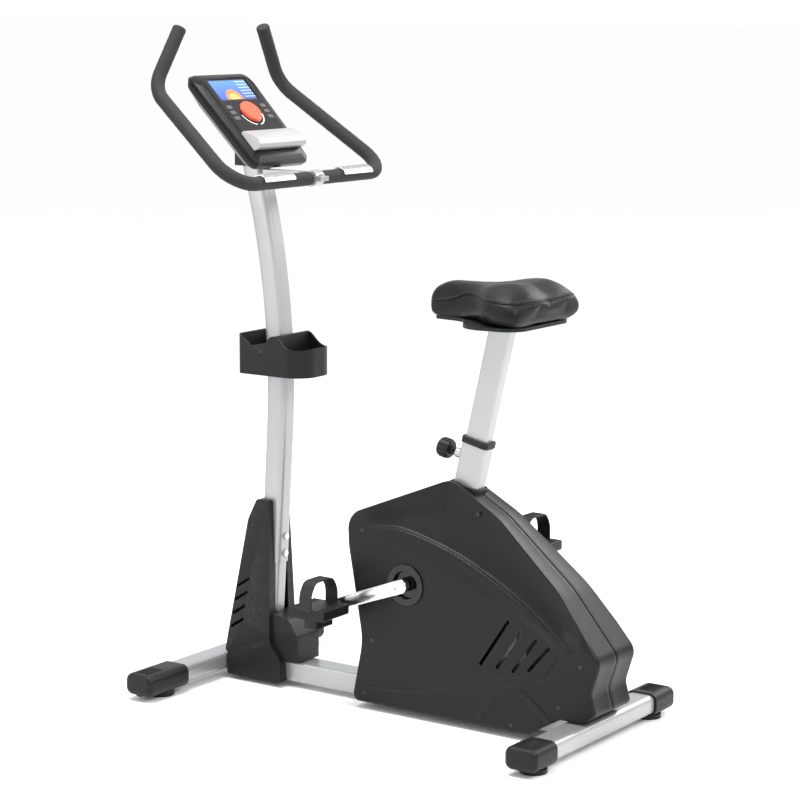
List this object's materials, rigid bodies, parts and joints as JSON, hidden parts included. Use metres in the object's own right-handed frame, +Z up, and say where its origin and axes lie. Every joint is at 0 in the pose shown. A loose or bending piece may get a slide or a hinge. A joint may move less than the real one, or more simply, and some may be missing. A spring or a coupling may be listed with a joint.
{
  "type": "exercise bike",
  "caption": "Self-powered upright exercise bike with tilted console, foam U handlebar, sliding saddle post, cup holder, enclosed belt drive and flywheel, and strapped pedals.",
  "frame": {"origin": "middle of the footprint, on the floor the bike stands on", "axes": "+X forward (the rider faces +X), +Y to the rider's left, +Z up"},
  "size_m": [0.9994, 0.61, 1.3896],
  "materials": {
    "silver_paint": "satin metallic silver paint",
    "casing_plastic": "fine satin texture",
    "cap_plastic": "satin",
    "console_plastic": "semi-gloss",
    "screen_glass": "gloss",
    "rest_plastic": "pearl",
    "dial_plastic": "gloss",
    "key_plastic": "satin",
    "foam": "closed-cell foam",
    "vinyl": "grained vinyl",
    "chrome_steel": "polished",
    "machined_steel": "machined",
    "cast_wheel": "turned rim",
    "belt_rubber": "ribbed",
    "pulley_plastic": "moulded",
    "board": "lacquered",
    "copper_coil": "enamelled wire",
    "roller_rubber": "moulded",
    "screw_black": "black oxide"
  },
  "bodies": {
    "frame": {"main_beam": "silver_paint", "front_stabiliser": "silver_paint", "rear_stabiliser": "silver_paint", "front_caps": "cap_plastic", "rear_caps": "cap_plastic", "post_stub": "silver_paint", "upper_post": "silver_paint", "post_shroud_left": "casing_plastic", "post_shroud_right": "casing_plastic", "cup_holder": "casing_plastic", "handlebar_clamp": "silver_paint", "clamp_cap": "silver_paint", "console_housing": "console_plastic", "console_face": "console_plastic", "lcd_window": "screen_glass", "reading_rest": "rest_plastic", "seat_tube": "silver_paint", "seat_tube_bush": "casing_plastic", "casing_collar": "casing_plastic", "casing_left": "casing_plastic", "casing_right": "casing_plastic", "hub_covers": "casing_plastic", "drive_frame": "silver_paint", "crank_bearings": "machined_steel", "flywheel_axle": "machined_steel", "generator_stator": "copper_coil", "controller_board": "board", "drive_belt": "belt_rubber", "frame_bolts": "machined_steel", "cover_screws": "screw_black"},
    "crank": {"crank_axle": "machined_steel", "crank_arm_left": "chrome_steel", "crank_arm_right": "chrome_steel", "drive_pulley": "pulley_plastic", "pedal_spindles": "machined_steel"},
    "pedal_left": {"pedal_left": "cap_plastic", "pedal_strap_left": "belt_rubber"},
    "pedal_right": {"pedal_right": "cap_plastic", "pedal_strap_right": "belt_rubber"},
    "flywheel": {"flywheel": "cast_wheel"},
    "idler_arm": {"idler_arm": "machined_steel"},
    "idler_pulley": {"idler_pulley": "pulley_plastic"},
    "seat": {"seat_post": "silver_paint", "saddle_base": "casing_plastic", "saddle_cushion": "vinyl"},
    "seat_knob": {"seat_knob": "cap_plastic"},
    "handlebar": {"handlebar_tube": "machined_steel", "handlebar_foam": "foam", "pulse_sensors": "chrome_steel"},
    "dial": {"dial": "dial_plastic"},
    "roller_left": {"roller_left": "roller_rubber"},
    "roller_right": {"roller_right": "roller_rubber"},
    "level_foot_left": {"level_foot_left": "cap_plastic"},
    "level_foot_right": {"level_foot_right": "cap_plastic"},
    "key_1": {"key_1": "key_plastic"},
    "key_2": {"key_2": "key_plastic"},
    "key_3": {"key_3": "key_plastic"},
    "key_4": {"key_4": "key_plastic"},
    "key_5": {"key_5": "key_plastic"},
    "key_6": {"key_6": "key_plastic"}
  },
  "joints": [
    {"name": "crank_spin", "type": "hinge", "parent": "frame", "child": "crank", "pos_m": [-0.05, 0, 0.277], "axis": [0, 1, 0], "continuous": true},
    {"name": "pedal_left_spin", "type": "hinge", "parent": "crank", "child": "pedal_left", "pos_m": [0.10923, 0.153, 0.21746], "axis": [0, 1, 0], "continuous": true},
    {"name": "pedal_right_spin", "type": "hinge", "parent": "crank", "child": "pedal_right", "pos_m": [-0.20923, -0.153, 0.33653], "axis": [0, 1, 0], "continuous": true},
    {"name": "flywheel_spin", "type": "hinge", "parent": "frame", "child": "flywheel", "pos_m": [-0.28203, 0, 0.202], "axis": [0, 1, 0], "continuous": true},
    {"name": "idler_swing", "type": "hinge", "parent": "frame", "child": "idler_arm", "pos_m": [-0.11442, -0.028, 0.14803], "axis": [0, 1, 0], "range_deg": [-12, 0], "stiffness_Nm_per_rad": 2, "springref_deg": 2.86},
    {"name": "idler_spin", "type": "hinge", "parent": "idler_arm", "child": "idler_pulley", "pos_m": [-0.17628, -0.037, 0.15208], "axis": [0, 1, 0], "continuous": true},
    {"name": "seat_height", "type": "slide", "parent": "frame", "child": "seat", "axis": [-0.2284, 0, 0.9736], "range_m": [-0.15, 0.05]},
    {"name": "seat_pin_pull", "type": "slide", "parent": "frame", "child": "seat_knob", "axis": [0.9736, 0, 0.2284], "range_m": [0, 0.01], "stiffness_N_per_m": 900, "springref_m": -0.006},
    {"name": "handlebar_tilt", "type": "hinge", "parent": "frame", "child": "handlebar", "pos_m": [0.232, 0, 1.079], "axis": [0, 1, 0], "range_deg": [-15, 10]},
    {"name": "dial_turn", "type": "hinge", "parent": "frame", "child": "dial", "pos_m": [0.39782, 0, 1.20766], "axis": [-0.7133, 0, 0.7009], "continuous": true},
    {"name": "roller_left_spin", "type": "hinge", "parent": "frame", "child": "roller_left", "pos_m": [0.479, 0.272, 0.025], "axis": [0, 1, 0], "continuous": true},
    {"name": "roller_right_spin", "type": "hinge", "parent": "frame", "child": "roller_right", "pos_m": [0.479, -0.272, 0.025], "axis": [0, 1, 0], "continuous": true},
    {"name": "level_foot_left_height", "type": "slide", "parent": "frame", "child": "level_foot_left", "axis": [0, 0, 1], "range_m": [-0.008, 0]},
    {"name": "level_foot_right_height", "type": "slide", "parent": "frame", "child": "level_foot_right", "axis": [0, 0, 1], "range_m": [-0.008, 0]},
    {"name": "key_1_press", "type": "slide", "parent": "frame", "child": "key_1", "axis": [0.7133, 0, -0.7009], "range_m": [0, 0.0015], "stiffness_N_per_m": 400, "springref_m": -0.0004},
    {"name": "key_2_press", "type": "slide", "parent": "frame", "child": "key_2", "axis": [0.7133, 0, -0.7009], "range_m": [0, 0.0015], "stiffness_N_per_m": 400, "springref_m": -0.0004},
    {"name": "key_3_press", "type": "slide", "parent": "frame", "child": "key_3", "axis": [0.7133, 0, -0.7009], "range_m": [0, 0.0015], "stiffness_N_per_m": 400, "springref_m": -0.0004},
    {"name": "key_4_press", "type": "slide", "parent": "frame", "child": "key_4", "axis": [0.7133, 0, -0.7009], "range_m": [0, 0.0015], "stiffness_N_per_m": 400, "springref_m": -0.0004},
    {"name": "key_5_press", "type": "slide", "parent": "frame", "child": "key_5", "axis": [0.7133, 0, -0.7009], "range_m": [0, 0.0015], "stiffness_N_per_m": 400, "springref_m": -0.0004},
    {"name": "key_6_press", "type": "slide", "parent": "frame", "child": "key_6", "axis": [0.7133, 0, -0.7009], "range_m": [0, 0.0015], "stiffness_N_per_m": 400, "springref_m": -0.0004}
  ],
  "couplings": [
    {"joint": "flywheel_spin", "follows": "crank_spin", "ratio": 5.0909},
    {"joint": "idler_spin", "follows": "crank_spin", "ratio": -6.7824}
  ]
}
